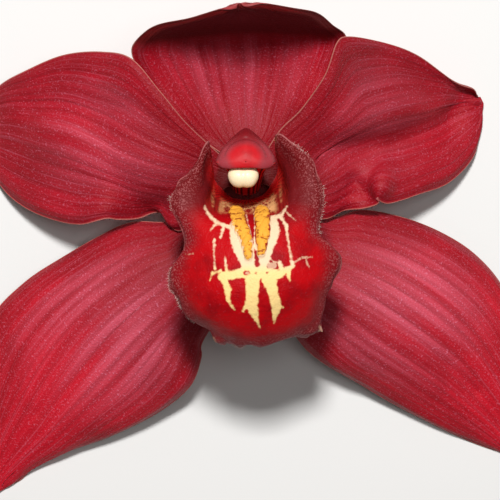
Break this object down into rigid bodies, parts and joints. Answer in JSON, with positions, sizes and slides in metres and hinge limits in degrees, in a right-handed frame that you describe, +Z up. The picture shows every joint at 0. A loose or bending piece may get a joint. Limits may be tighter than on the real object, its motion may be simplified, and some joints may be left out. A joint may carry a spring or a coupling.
{
  "type": "cut orchid flower",
  "caption": "Single open orchid bloom with spreading sepals and petals, a cupped spotted lip, a hooded column and a short cut stalk, lying on its back.",
  "frame": {"origin": "centre of the flower's bounding box, on the surface it lies on", "axes": "+Z up out of the face of the flower, +Y from the heart towards the hooded dorsal sepal, +X to the right as the face is looked down on"},
  "size_m": [0.119, 0.0988, 0.0447],
  "materials": {
    "sepal": "velvety petal tissue, crimson with darker lengthwise veins and a fine pale sparkle",
    "petal": "velvety petal tissue, crimson with darker lengthwise veins and a fine pale sparkle",
    "lip": "deep velvet red with cream and golden markings in the throat",
    "column": "waxy bright red",
    "anther_cap": "waxy cream",
    "pollinarium": "waxy golden yellow",
    "stalk": "smooth, ribbed, green flushed with dark red"
  },
  "bodies": {
    "root": {"dorsal_sepal": "sepal", "left_lateral_sepal": "sepal", "right_lateral_sepal": "sepal", "left_petal": "petal", "right_petal": "petal", "lip": "lip", "column": "column", "anther_cap": "anther_cap", "pollinarium": "pollinarium", "pedicel": "stalk"}
  },
  "joints": []
}
